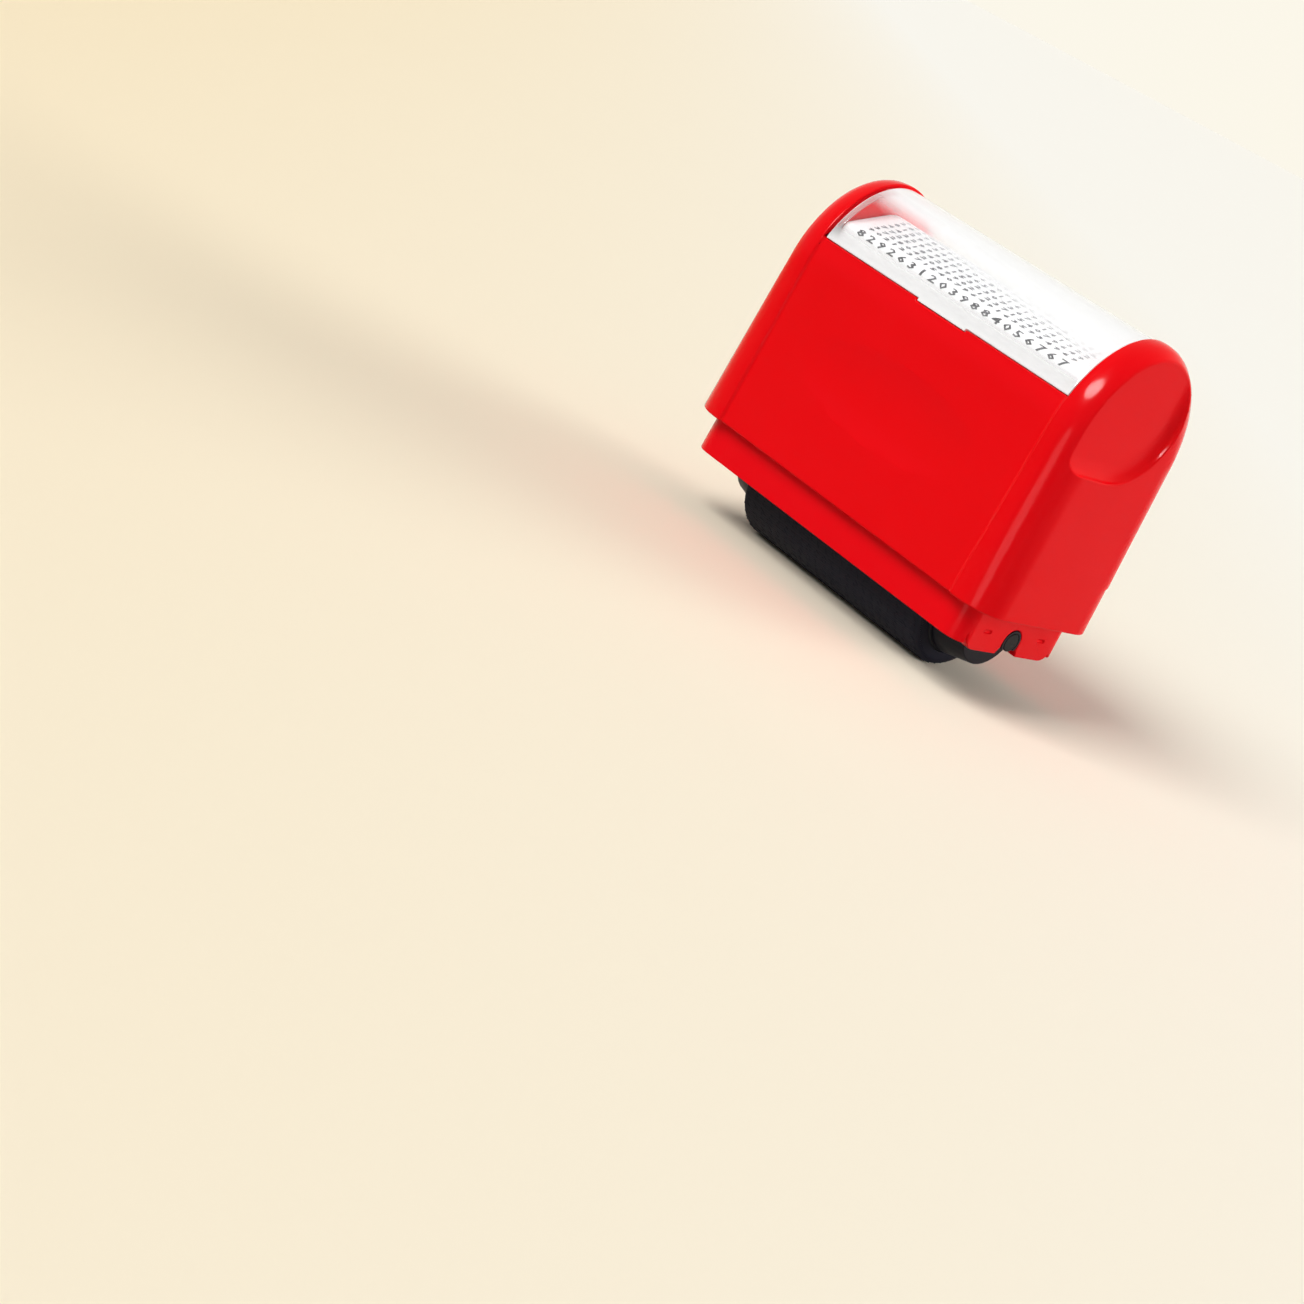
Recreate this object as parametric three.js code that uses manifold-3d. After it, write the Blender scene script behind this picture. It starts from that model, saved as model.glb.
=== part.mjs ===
// Self-inking roller stamp: an arched housing with a clear label window, and a pull-out
// cartridge that holds the printing drum and the ink roller pressed on it.
// Millimetres. X runs along the rollers, -Y is the front, +Z is up, z = 0 is the table.

import * as THREE from 'three';
import { mergeVertices } from 'three/addons/utils/BufferGeometryUtils.js';
import Module from 'manifold-3d';

const wasm = await Module();
wasm.setup();

// Driving dimensions
const printLength = 38; // printed strip, along the drum
const drumRadius = 9.3; // over the raised dies
const feltRadius = 6.8; // ink roller
const endRoom = 7.5; // drum's end to the frame's end plate, at the housing's lower edge
const drumClearance = 1.7; // drum to the frame's front and rear walls, at the same height
const edgeRise = 4.1; // drum's axis up to the housing's lower edge
const domeRise = 16; // where the walls end and the dome begins, up to the crown
const wallLean = 0.9; // how far the front and rear walls lean in, edge to dome
const rimLength = 6.5; // each end rim beside the window
const windowDrop = 11.1; // crown down to the window's long edges

// Housing details
const housingWall = 1.2;
const endWall = 2.7;
const endLean = 1.2; // how far each end face leans in over its height
const rimRadius = 5.4; // rounding between an end face and the front, dome and rear
const cavityRadius = 3.3;
const beltDrop = 0.4; // belt between the end rims lies this far below them
const beltRamp = 0.35;
const rearBandHeight = 7.2;
const rearBandStep = 0.25; // the rear wall steps out this much above the band
const grooveDepth = 2.5;
const notchLength = 9.8;
const notchDepth = 0.4;
const dishRadius = 10.6; // the dish's lower rear corner
const dishDepth = 1.4;
const dishFillet = 2.4;
const dishDrop = 8.8; // crown down to that corner's centre
const dishForward = 3.3;
const scoopMargin = 6; // scoop's end to the belt's end
const scoopHeight = 12.6;
const scoopDepth = 0.45;
const scoopShare = 0.6; // scoop's outline on the radius of the ball that cuts it
const scoopRise = 15.3; // lower edge to the scoop's centre

// Window, card and the deck below them
const windowWall = 1;
const windowGap = 0.3; // at the window's two ends
const seamGap = 0.15; // under the window's long edges
const tongueWall = 0.7;
const tongueGap = 0.1;
const tongueReach = 2.2;
const cardWall = 0.35;
const cardGap = 0.1;
const cardLipReach = 1.1; // how far the card's lip reaches below the sill
const cardLipGap = 0.34; // card's lip to the window's tongue
const cardRoom = 5; // deck's ridge up to the dome's crown
const deckWall = 1.2;
const deckSlope = 21; // degrees, from each shoulder up to the ridge
const deckBend = 0.75; // rounding of the deck's shoulders
const deckCorner = 0.3; // and of its underside's corners
const ridgeRadius = 6;
const deckRoom = 6.2; // frame's top up to the deck's underside

// Cartridge frame
const slideGap = 0.3; // between the frame and the housing
const frameWall = 1.5;
const frameLip = 0.25; // end plates' top above the spring plate
const frameWallDrop = 12.2; // end plates' top down to the front wall's top
const frameNeckGap = 0.5; // beside the deck's lips
const skirtReach = 5.45; // below the housing's lower edge
const footReach = 6.1;
const footSetback = 2.3; // foot's edge behind the skirt's face
const footRadius = 2.2;
const slotMouth = 5.2;
const slotFlare = 1.2;
const gripBarLength = 1.7;
const gripBarHeight = 0.45;
const gripBarDepth = 0.25;
const gripBarSpan = 13.2; // between the two bars of an end
const gripBarDrop = 3.1; // below the housing's lower edge

// Printing drum
const rubberWall = 2.2;
const cushionWall = 1.4;
const coreWall = 1.6;
const fitGap = 0.1; // between pieces pushed onto each other
const journalRadius = 1.42;
const journalGap = 0.08;
const bushWall = 0.35;
const bushFlange = 0.8;
const bushFlangeWall = 0.4;
const bushOpening = 100; // degrees left open at the bottom
const hubDrop = 2.6; // dies down to the hub's rim
const hubRimWall = 0.8;
const hubTaper = 1.1;
const hubBossRadius = 2.6;
const hubPlug = 4;
const hubBossLength = 1.2;
const endFloat = 0.3;

// Ink roller and its sprung cradle
const inkCoreWall = 1;
const nipGap = 0.15; // felt to dies
const inkJournalRadius = 1.4;
const inkCapDrop = 1; // felt down to the cap's rim
const inkCapWall = 1.2;
const inkBossRadius = 2.5;
const inkPlug = 3;
const inkPlugWall = 0.9; // round the axle's bore
const armWall = 1.5;
const armHalfDepth = 4.4;
const armGap = 0.4;
const armReach = 3.3; // below the ink roller's axis
const neckHalfWidth = 1.15;
const neckDrop = 1.25;
const neckFlare = 0.9;
const cradleGap = 1.6; // felt to the cradle's plate
const cradleWall = 1.2;
const cradleSetback = 0.8; // felt's reach beyond the cradle's plate
const guideWall = 1.2;
const guideReach = 1.5; // below the ink roller's axis

// Springs and the plate they push against
const springRadius = 2.4; // to the wire's centre
const wireRadius = 0.25;
const springTurns = 4;
const springLength = 5.6;
const springSpan = 28; // between the two springs
const springSeat = 0.1;
const postRadius = 1.7;
const postLength = 1.6;
const plateWall = 1.2;
const plateOverhang = 0.8; // spring plate's reach beyond the cradle's
const tabHalfDepth = 3;

// Facets
const archSteps = 40;
const rimSteps = 7;
const ridgeSteps = 10;
const drumSteps = 56;
const hubSteps = 36;
const smallSteps = 28;
const bushSteps = 20;
const filletSteps = 5;
const scoopSteps = 40;
const wireSides = 6;
const turnSteps = 10;
const cutOverrun = 6; // how far a cutter passes the faces it opens

// Places worked out from the sizes above
const drumHalf = printLength / 2;
const axleZ = drumRadius;
const inkZ = 2 * drumRadius + nipGap + feltRadius;
const cradleZ = inkZ + feltRadius + cradleGap; // underside of the cradle's plate
const springFootZ = cradleZ + cradleWall;
const plateZ = springFootZ + springLength; // underside of the spring plate
const cradleHalfDepth = feltRadius - cradleSetback;
const plateHalfDepth = cradleHalfDepth + plateOverhang;
const frameTopZ = plateZ + plateWall + frameLip;
const frameWallTopZ = frameTopZ - frameWallDrop;
const deckRidgeZ = frameTopZ + deckRoom + deckWall;
const crownZ = deckRidgeZ + cardRoom;
const springZ = crownZ - domeRise;
const sillZ = crownZ - windowDrop;
const edgeZ = axleZ + edgeRise; // the housing's lower edge
const housingHeight = crownZ - edgeZ;
const housingHalfLength = drumHalf + endRoom + frameWall + slideGap + endWall;
const beltHalf = housingHalfLength - rimLength;
const cavityInset = beltDrop + housingWall;
const cavityEnd = rimLength - endWall;
const frameInset = cavityInset + slideGap;
const frameEnd = cavityEnd - slideGap;
const footHalfDepth = drumRadius + drumClearance + frameWall + frameInset;
const springHalfDepth = footHalfDepth - wallLean;
const farX = housingHalfLength + cutOverrun; // reach of the cutters
const farY = footHalfDepth + cutOverrun;

// How much of the rim's length is left at a height, because the end faces lean in
function rimShareAt(z) {
  return 1 - (endLean / rimLength) * ((z - edgeZ) / housingHeight);
}

// X of a place that lies s beyond the belt's end
function alongRim(s, z) {
  return s <= 0 ? beltHalf + s : beltHalf + s * rimShareAt(z);
}

// Half depth of the straight walls
function wallHalfDepthAt(z) {
  return footHalfDepth - (wallLean * (z - edgeZ)) / (springZ - edgeZ);
}

// Half depth of the dome, set in by an inset
function domeHalfDepthAt(z, inset) {
  const rise = (z - springZ) / (domeRise - inset);
  return (springHalfDepth - inset) * Math.sqrt(1 - rise * rise);
}

const plateInnerX = alongRim(frameEnd - frameWall, axleZ); // inner face of an end plate
const plateOuterX = alongRim(frameEnd, axleZ);

// Shapes and solids
function point(y, z) {
  return new THREE.Vector2(y, z);
}

function sorted(a, b) {
  return a < b ? [a, b] : [b, a];
}

// Points of an arc in the Y-Z plane, angles in degrees from +Y towards +Z
function arc(y, z, radius, from, to, steps, radiusZ = radius) {
  const points = [];
  for (let i = 0; i <= steps; i++) {
    const angle = THREE.MathUtils.degToRad(from + ((to - from) * i) / steps);
    points.push(point(y + radius * Math.cos(angle), z + radiusZ * Math.sin(angle)));
  }
  return points;
}

// Welds a geometry into one closed skin, and drops the triangles that collapse at its poles
function weld(geometry) {
  geometry.deleteAttribute('normal');
  geometry.deleteAttribute('uv');
  const welded = mergeVertices(geometry);
  const kept = [];
  const index = welded.index.array;
  for (let i = 0; i < index.length; i += 3) {
    const [a, b, c] = [index[i], index[i + 1], index[i + 2]];
    if (a !== b && b !== c && c !== a) kept.push(a, b, c);
  }
  welded.setIndex(kept);
  return welded;
}

function solid(geometry) {
  const skin = weld(geometry);
  return new wasm.Manifold(new wasm.Mesh({
    numProp: 3,
    vertProperties: new Float32Array(skin.attributes.position.array),
    triVerts: new Uint32Array(skin.index.array),
  }));
}

function skinOf(body) {
  const mesh = body.getMesh();
  const geometry = new THREE.BufferGeometry();
  geometry.setAttribute('position', new THREE.BufferAttribute(new Float32Array(mesh.vertProperties), 3));
  geometry.setIndex(new THREE.BufferAttribute(new Uint32Array(mesh.triVerts), 1));
  return geometry;
}

// Prism along X over an outline in the Y-Z plane
const outlineToX = new THREE.Matrix4().makeBasis(
  new THREE.Vector3(0, 1, 0),
  new THREE.Vector3(0, 0, 1),
  new THREE.Vector3(1, 0, 0),
);

function prism(outline, fromX, toX, holes = []) {
  const shape = new THREE.Shape(outline);
  shape.holes = holes.map((hole) => new THREE.Path(hole));
  const geometry = new THREE.ExtrudeGeometry(shape, { depth: toX - fromX, bevelEnabled: false });
  return geometry.applyMatrix4(outlineToX).translate(fromX, 0, 0);
}

function block(fromX, toX, fromY, toY, fromZ, toZ) {
  const geometry = new THREE.BoxGeometry(toX - fromX, toY - fromY, toZ - fromZ);
  return geometry.translate((fromX + toX) / 2, (fromY + toY) / 2, (fromZ + toZ) / 2);
}

// Body of revolution about a line along X, from [x, radius] pairs that run towards +X
function turned(pairs, z, steps) {
  const profile = pairs.map(([x, radius]) => new THREE.Vector2(radius, x));
  return new THREE.LatheGeometry(profile, steps).rotateZ(-Math.PI / 2).translate(0, 0, z);
}

function ring(fromX, toX, inner, outer, z, steps) {
  return turned([[fromX, inner], [fromX, outer], [toX, outer], [toX, inner], [fromX, inner]], z, steps);
}

// Section across the housing: rear wall, dome, front wall, set in by an inset
function archOutline(inset, lowZ, bandStep = 0) {
  const outline = [point(wallHalfDepthAt(lowZ) - inset, lowZ)];
  const bandZ = edgeZ + rearBandHeight;
  outline.push(point(wallHalfDepthAt(bandZ) - inset, bandZ));
  if (bandStep > 0) outline.push(point(wallHalfDepthAt(bandZ) - inset + bandStep, bandZ + bandStep));
  const half = springHalfDepth - inset;
  outline.push(...arc(0, springZ, half, 0, 180, archSteps, domeRise - inset));
  outline.push(point(-wallHalfDepthAt(bandZ) + inset, bandZ));
  outline.push(point(-wallHalfDepthAt(lowZ) + inset, lowZ));
  return outline;
}

// Stations from the middle to one end: the rounding between the walls and the end face
function endStations(end, inset, radius) {
  const stations = [{ s: end - radius, inset }];
  for (let i = 1; i <= rimSteps; i++) {
    const angle = (Math.PI / 2) * (i / rimSteps);
    stations.push({
      s: end - radius + radius * Math.sin(angle),
      inset: inset + radius * (1 - Math.cos(angle)),
    });
  }
  return stations;
}

// Closed body through outlines in the Y-Z plane, each at the X that xAt gives its points
function loft(rings, xAt) {
  const positions = [];
  rings.forEach((outline, i) => {
    for (const p of outline) positions.push(xAt(i, p.y), p.x, p.y);
  });
  const count = rings[0].length;
  const index = [];
  for (let i = 0; i + 1 < rings.length; i++) {
    for (let j = 0; j < count; j++) {
      const next = (j + 1) % count;
      const here = i * count;
      const there = here + count;
      index.push(here + j, there + next, there + j, here + j, here + next, there + next);
    }
  }
  const last = (rings.length - 1) * count;
  for (const [a, b, c] of THREE.ShapeUtils.triangulateShape(rings[0], [])) index.push(a, c, b);
  for (const [a, b, c] of THREE.ShapeUtils.triangulateShape(rings.at(-1), [])) {
    index.push(last + a, last + b, last + c);
  }
  const geometry = new THREE.BufferGeometry();
  geometry.setAttribute('position', new THREE.Float32BufferAttribute(positions, 3));
  geometry.setIndex(index);
  return geometry;
}

// Lofted body through arch sections, the same at both ends
function archLoft(stations, lowZ, bandStep = 0) {
  const sides = [...stations].reverse().map((station) => ({ ...station, side: -1 }));
  const all = [...sides, ...stations.map((station) => ({ ...station, side: 1 }))];
  const rings = all.map(({ inset }) => archOutline(inset, lowZ, bandStep));
  return loft(rings, (i, z) => all[i].side * alongRim(all[i].s, z));
}

// Deck under the window: upright lips, a slope up from each, and a rounded ridge
const wallInnerY = domeHalfDepthAt(sillZ, cavityInset);
const tongueOuterY = wallInnerY - tongueGap;
const tongueInnerY = tongueOuterY - tongueWall;
const deckHalfDepth = tongueInnerY - cardLipGap - cardWall - cardGap;
const slopeAngle = THREE.MathUtils.degToRad(deckSlope);
const ridgeCentreZ = deckRidgeZ - ridgeRadius;
const grooveZ = sillZ - grooveDepth;
const ceilingZ = grooveZ - deckWall; // of the cavity, beside the deck's lips

// Outline over the deck from rear to front, set out by an offset, its shoulders rounded by a bend
function deckRoof(offset, bend) {
  const radius = ridgeRadius + offset;
  const bendY = deckHalfDepth + offset - bend;
  const bendZ = ridgeCentreZ + (radius - bend) / Math.cos(slopeAngle) - bendY * Math.tan(slopeAngle);
  return [
    ...arc(bendY, bendZ, bend, 0, 90 - deckSlope, filletSteps),
    ...arc(0, ridgeCentreZ, radius, 90 - deckSlope, 90 + deckSlope, ridgeSteps),
    ...arc(-bendY, bendZ, bend, 90 + deckSlope, 180, filletSteps),
  ];
}

function housingShell() {
  const rim = endStations(rimLength, 0, rimRadius);
  const belt = [{ s: -beltRamp, inset: beltDrop }, { s: 0, inset: 0 }];
  const outer = solid(archLoft([...belt, ...rim], edgeZ, rearBandStep));
  const hollow = solid(archLoft(endStations(cavityEnd, cavityInset, cavityRadius), edgeZ - cutOverrun));
  const underDeck = deckRoof(-deckWall, deckCorner);
  const farZ = crownZ + cutOverrun;
  const ceiling = [
    point(farY, edgeZ - cutOverrun),
    point(farY, ceilingZ),
    point(underDeck[0].x, ceilingZ),
    ...underDeck,
    point(-underDeck[0].x, ceilingZ),
    point(-farY, ceilingZ),
    point(-farY, edgeZ - cutOverrun),
  ];
  const cavity = hollow.intersect(solid(prism(ceiling, -farX, farX)));
  const opening = [
    point(wallInnerY, grooveZ),
    point(wallInnerY, sillZ),
    point(farY, sillZ),
    point(farY, farZ),
    point(-farY, farZ),
    point(-farY, sillZ),
    point(-wallInnerY, sillZ),
    point(-wallInnerY, grooveZ),
    point(-deckHalfDepth, grooveZ),
    ...deckRoof(0, deckBend).reverse(),
    point(deckHalfDepth, grooveZ),
  ];
  const half = notchLength / 2;
  const notch = block(-half, half, -farY, -wallInnerY, sillZ - notchDepth, farZ);
  let body = outer.subtract(cavity).subtract(solid(prism(opening, -beltHalf, beltHalf)));
  body = body.subtract(solid(notch));
  const dish = solid(thumbDish());
  body = body.subtract(dish).subtract(dish.mirror([1, 0, 0]));
  for (const side of [-1, 1]) body = body.subtract(solid(fingerScoop(side)));
  return skinOf(body);
}

// Thumb dish sunk into an end face, open to the front and the top, made for the right end
function thumbDish() {
  const centreZ = crownZ - dishDrop;
  const outline = (inset) => [
    point(-farY, crownZ + cutOverrun),
    point(-farY, centreZ - dishRadius + inset),
    ...arc(-dishForward, centreZ, dishRadius - inset, 270, 360, hubSteps),
    point(dishRadius - inset - dishForward, crownZ + cutOverrun),
  ];
  const layers = [];
  for (let i = 0; i <= filletSteps; i++) {
    const angle = (Math.PI / 2) * (i / filletSteps);
    layers.push({ inset: dishFillet * (1 - Math.sin(angle)), out: -dishDepth * Math.cos(angle) });
  }
  layers.push({ inset: 0, out: cutOverrun });
  return loft(layers.map(({ inset }) => outline(inset)), (i, z) => alongRim(rimLength, z) + layers[i].out);
}

// Shallow finger scoop in the front or the rear wall, the cap of a flattened ball
function fingerScoop(side) {
  const centreZ = edgeZ + scoopRise;
  const flat = Math.sqrt(1 - scoopShare ** 2);
  const ballDepth = scoopDepth / (1 - flat);
  const ball = new THREE.SphereGeometry(1, scoopSteps, scoopSteps);
  ball.rotateX(Math.PI / 2);
  ball.scale((beltHalf - scoopMargin) / scoopShare, ballDepth, scoopHeight / 2 / scoopShare);
  ball.translate(0, side * flat * ballDepth, 0);
  ball.rotateX(side * Math.atan(wallLean / (springZ - edgeZ)));
  return ball.translate(0, side * (wallHalfDepthAt(centreZ) - beltDrop), centreZ);
}

function windowCover() {
  const sill = sillZ + seamGap;
  const tabSill = sill - notchDepth;
  const half = springHalfDepth - beltDrop;
  const rise = domeRise - beltDrop;
  const tongueZ = sillZ - tongueReach;
  const from = THREE.MathUtils.radToDeg(Math.asin((tabSill - springZ) / rise));
  const inner = THREE.MathUtils.radToDeg(Math.acos(tongueInnerY / (half - windowWall)));
  const outline = [
    ...arc(0, springZ, half, from, 180 - from, archSteps, rise),
    point(-tongueOuterY, tabSill),
    point(-tongueOuterY, tongueZ),
    point(-tongueInnerY, tongueZ),
    ...arc(0, springZ, half - windowWall, 180 - inner, inner, archSteps, rise - windowWall),
    point(tongueInnerY, tongueZ),
    point(tongueOuterY, tongueZ),
    point(tongueOuterY, tabSill),
  ];
  const end = beltHalf - windowGap;
  const tabEnd = notchLength / 2 - seamGap;
  let body = solid(prism(outline, -end, end));
  const low = tabSill - notchDepth;
  body = body.subtract(solid(block(-farX, farX, tongueOuterY, farY, low, sill)));
  body = body.subtract(solid(block(tabEnd, farX, -farY, -tongueOuterY, low, sill)));
  body = body.subtract(solid(block(-farX, -tabEnd, -farY, -tongueOuterY, low, sill)));
  return skinOf(body);
}

function labelCard() {
  const low = sillZ - cardLipReach;
  const under = deckRoof(cardGap, deckBend + cardGap);
  const over = deckRoof(cardGap + cardWall, deckBend + cardGap + cardWall);
  const outline = [
    point(over[0].x, low),
    ...over,
    point(-over[0].x, low),
    point(-under[0].x, low),
    ...under.reverse(),
    point(under.at(-1).x, low),
  ];
  const end = beltHalf - windowGap;
  return prism(outline, -end, end);
}

// Slot that opens downwards, round at its top, about an axis at y = 0
function slotOutline(radius, z, neck, neckZ, mouth, mouthZ, lowZ) {
  const below = THREE.MathUtils.radToDeg(Math.acos(Math.min(1, neck / radius)));
  return [
    point(mouth, lowZ),
    point(mouth, mouthZ),
    point(neck, neckZ),
    ...arc(0, z, radius, -below, 180 + below, smallSteps),
    point(-neck, neckZ),
    point(-mouth, mouthZ),
    point(-mouth, lowZ),
  ];
}

const slotRadius = journalRadius + journalGap + bushWall + fitGap;
const footZ = edgeZ - footReach;
const skirtZ = edgeZ - skirtReach;
const footHalfSpan = wallHalfDepthAt(skirtZ) - frameInset - footSetback;
const frameNeckHalfDepth = deckHalfDepth - deckWall - frameNeckGap;

function rollerFrame() {
  const outer = solid(archLoft(endStations(frameEnd, frameInset, cavityRadius - slideGap), footZ));
  const innerEnd = frameEnd - frameWall;
  const innerRadius = cavityRadius - slideGap - frameWall;
  const inner = solid(archLoft(
    endStations(innerEnd, frameInset + frameWall, innerRadius),
    footZ - cutOverrun,
  ));
  const neckZ = ceilingZ - slideGap;
  const shoulder = wallHalfDepthAt(neckZ) - frameInset - frameNeckHalfDepth;
  const side = [
    ...arc(footHalfSpan - footRadius, footZ + footRadius, footRadius, 270, 360, filletSteps),
    point(footHalfSpan, skirtZ),
    point(farY, skirtZ),
    point(farY, neckZ - shoulder),
    point(frameNeckHalfDepth, neckZ),
    point(frameNeckHalfDepth, frameTopZ),
    point(-frameNeckHalfDepth, frameTopZ),
    point(-frameNeckHalfDepth, neckZ),
    point(-farY, neckZ - shoulder),
    point(-farY, skirtZ),
    point(-footHalfSpan, skirtZ),
    ...arc(-footHalfSpan + footRadius, footZ + footRadius, footRadius, 180, 270, filletSteps),
  ];
  const openTop = block(-beltHalf, beltHalf, -farY, farY, frameWallTopZ, crownZ + cutOverrun);
  let body = outer.intersect(solid(prism(side, -farX, farX))).subtract(inner);
  body = body.subtract(solid(openTop));
  const slot = slotOutline(
    slotRadius,
    axleZ,
    slotRadius,
    axleZ - slotRadius / 2,
    slotMouth / 2,
    axleZ - slotRadius / 2 - slotFlare,
    footZ - cutOverrun,
  );
  body = body.subtract(solid(prism(slot, -farX, farX)));
  body = body.subtract(solid(tabSlots()));
  for (const end of [-1, 1]) {
    for (const across of [-1, 1]) {
      body = body.add(solid(cradleGuide(end, across))).subtract(solid(gripBar(end, across)));
    }
  }
  return skinOf(body);
}

// Upright rib inside an end plate, beside the cradle's arm
function cradleGuide(end, across) {
  const near = plateInnerX - armGap - armWall;
  const into = plateInnerX + frameWall / 2;
  const [fromX, toX] = sorted(end * near, end * into);
  const inside = armHalfDepth + fitGap;
  const [fromY, toY] = sorted(across * inside, across * (inside + guideWall));
  return block(fromX, toX, fromY, toY, inkZ - guideReach, plateZ - slideGap);
}

// Short pressed bar in the outer face of an end plate
function gripBar(end, across) {
  const z = edgeZ - gripBarDrop;
  const y = (across * gripBarSpan) / 2;
  const face = alongRim(frameEnd, z);
  const [fromX, toX] = sorted(end * (face - gripBarDepth), end * (face + cutOverrun));
  const [half, rise] = [gripBarLength / 2, gripBarHeight / 2];
  return block(fromX, toX, y - half, y + half, z - rise, z + rise);
}

function tabSlots() {
  const half = tabHalfDepth + fitGap;
  return block(-farX, farX, -half, half, plateZ - fitGap, plateZ + plateWall + fitGap);
}

function springPosts(fromZ, toZ) {
  const height = toZ - fromZ;
  return [-1, 1].map((side) => {
    const post = new THREE.CylinderGeometry(postRadius, postRadius, height, smallSteps);
    return post.rotateX(Math.PI / 2).translate((side * springSpan) / 2, 0, (fromZ + toZ) / 2);
  });
}

function springPlate() {
  const end = alongRim(frameEnd - frameWall, plateZ + plateWall) - fitGap;
  const tabEnd = alongRim(frameEnd, plateZ + plateWall) - fitGap;
  const top = plateZ + plateWall;
  let body = solid(block(-end, end, -plateHalfDepth, plateHalfDepth, plateZ, top));
  body = body.add(solid(block(-tabEnd, tabEnd, -tabHalfDepth, tabHalfDepth, plateZ, top)));
  for (const post of springPosts(plateZ - postLength, plateZ + plateWall / 2)) {
    body = body.add(solid(post));
  }
  return skinOf(body);
}

class Helix extends THREE.Curve {
  getPoint(t, target = new THREE.Vector3()) {
    const angle = 2 * Math.PI * springTurns * t;
    const rise = springLength - 2 * (wireRadius + springSeat);
    return target.set(springRadius * Math.cos(angle), springRadius * Math.sin(angle), rise * t);
  }
}

function inkSpring(side) {
  const section = new THREE.Shape(arc(0, 0, wireRadius, 0, 360 - 360 / wireSides, wireSides - 1));
  const wire = new THREE.ExtrudeGeometry(section, {
    steps: springTurns * turnSteps,
    extrudePath: new Helix(),
    bevelEnabled: false,
  });
  return wire.translate((side * springSpan) / 2, 0, springFootZ + springSeat + wireRadius);
}

const armOuterX = plateInnerX - armGap;

function inkCradle() {
  const lowZ = inkZ - armReach;
  const arm = [
    point(armHalfDepth, lowZ),
    point(armHalfDepth, cradleZ + cradleWall),
    point(-armHalfDepth, cradleZ + cradleWall),
    point(-armHalfDepth, lowZ),
  ];
  const slot = slotOutline(
    inkJournalRadius + journalGap,
    inkZ,
    neckHalfWidth,
    inkZ - neckDrop,
    neckHalfWidth + neckFlare,
    inkZ - neckDrop - neckFlare,
    lowZ - cutOverrun,
  );
  const plateEnd = armOuterX - armWall / 2;
  const top = cradleZ + cradleWall;
  let body = solid(block(-plateEnd, plateEnd, -cradleHalfDepth, cradleHalfDepth, cradleZ, top));
  for (const side of [-1, 1]) {
    const [fromX, toX] = sorted(side * armOuterX, side * (armOuterX - armWall));
    body = body.add(solid(prism(arm, fromX, toX)));
  }
  body = body.subtract(solid(prism(slot, -farX, farX)));
  for (const side of [-1, 1]) {
    for (const across of [-1, 1]) {
      const [fromX, toX] = sorted(side * (armOuterX - armWall - fitGap), side * farX);
      const [fromY, toY] = sorted(across * armHalfDepth, across * farY);
      body = body.subtract(solid(block(fromX, toX, fromY, toY, cradleZ - cutOverrun, top + cutOverrun)));
    }
  }
  for (const post of springPosts(cradleZ + cradleWall / 2, springFootZ + postLength)) {
    body = body.add(solid(post));
  }
  return skinOf(body);
}

const inkPlugRadius = inkJournalRadius + fitGap + inkPlugWall;
const inkCoreRadius = inkPlugRadius + fitGap + inkCoreWall;

function inkCore() {
  return ring(-drumHalf, drumHalf, inkCoreRadius - inkCoreWall, inkCoreRadius, inkZ, smallSteps);
}

function inkFelt() {
  return ring(-drumHalf, drumHalf, inkCoreRadius + fitGap, feltRadius, inkZ, drumSteps);
}

// End cap pushed onto the ink roller's axle, made for the right end
function inkCap() {
  const face = drumHalf + fitGap;
  const capRadius = feltRadius - inkCapDrop;
  const boss = armOuterX - armWall - endFloat;
  const bore = inkJournalRadius + fitGap;
  return turned([
    [face - inkPlug, bore],
    [face - inkPlug, inkPlugRadius],
    [face, inkPlugRadius],
    [face, capRadius],
    [face + inkCapWall, capRadius],
    [face + inkCapWall, inkBossRadius],
    [boss, inkBossRadius],
    [boss, bore],
    [face - inkPlug, bore],
  ], inkZ, smallSteps);
}

// Round rod along X, its two ends turning in their bearings
function axle(half, radius, z) {
  return turned([[-half, 0], [-half, radius], [half, radius], [half, 0]], z, smallSteps);
}

const coreRadius = drumRadius - rubberWall - cushionWall - fitGap;

function stampSleeve() {
  return ring(-drumHalf, drumHalf, drumRadius - rubberWall, drumRadius, axleZ, drumSteps);
}

function drumCushion() {
  const outer = drumRadius - rubberWall - fitGap;
  return ring(-drumHalf, drumHalf, coreRadius + fitGap, outer, axleZ, drumSteps);
}

function drumCore() {
  return ring(-drumHalf, drumHalf, coreRadius - coreWall, coreRadius, axleZ, drumSteps);
}

const bushInnerX = plateInnerX - fitGap - bushFlangeWall;

// Hub that closes the drum's end and holds its axle, made for the right end
function drumHub() {
  const face = drumHalf + fitGap;
  const plugRadius = coreRadius - coreWall - fitGap;
  const hubRadius = drumRadius - hubDrop;
  const tip = bushInnerX - endFloat;
  const bore = journalRadius + fitGap;
  return turned([
    [face - hubPlug, bore],
    [face - hubPlug, plugRadius],
    [face, plugRadius],
    [face, hubRadius],
    [face + hubRimWall, hubRadius],
    [tip - hubBossLength, hubRadius - hubTaper],
    [tip - hubBossLength, hubBossRadius],
    [tip, hubBossRadius],
    [tip, bore],
    [face - hubPlug, bore],
  ], axleZ, hubSteps);
}

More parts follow.
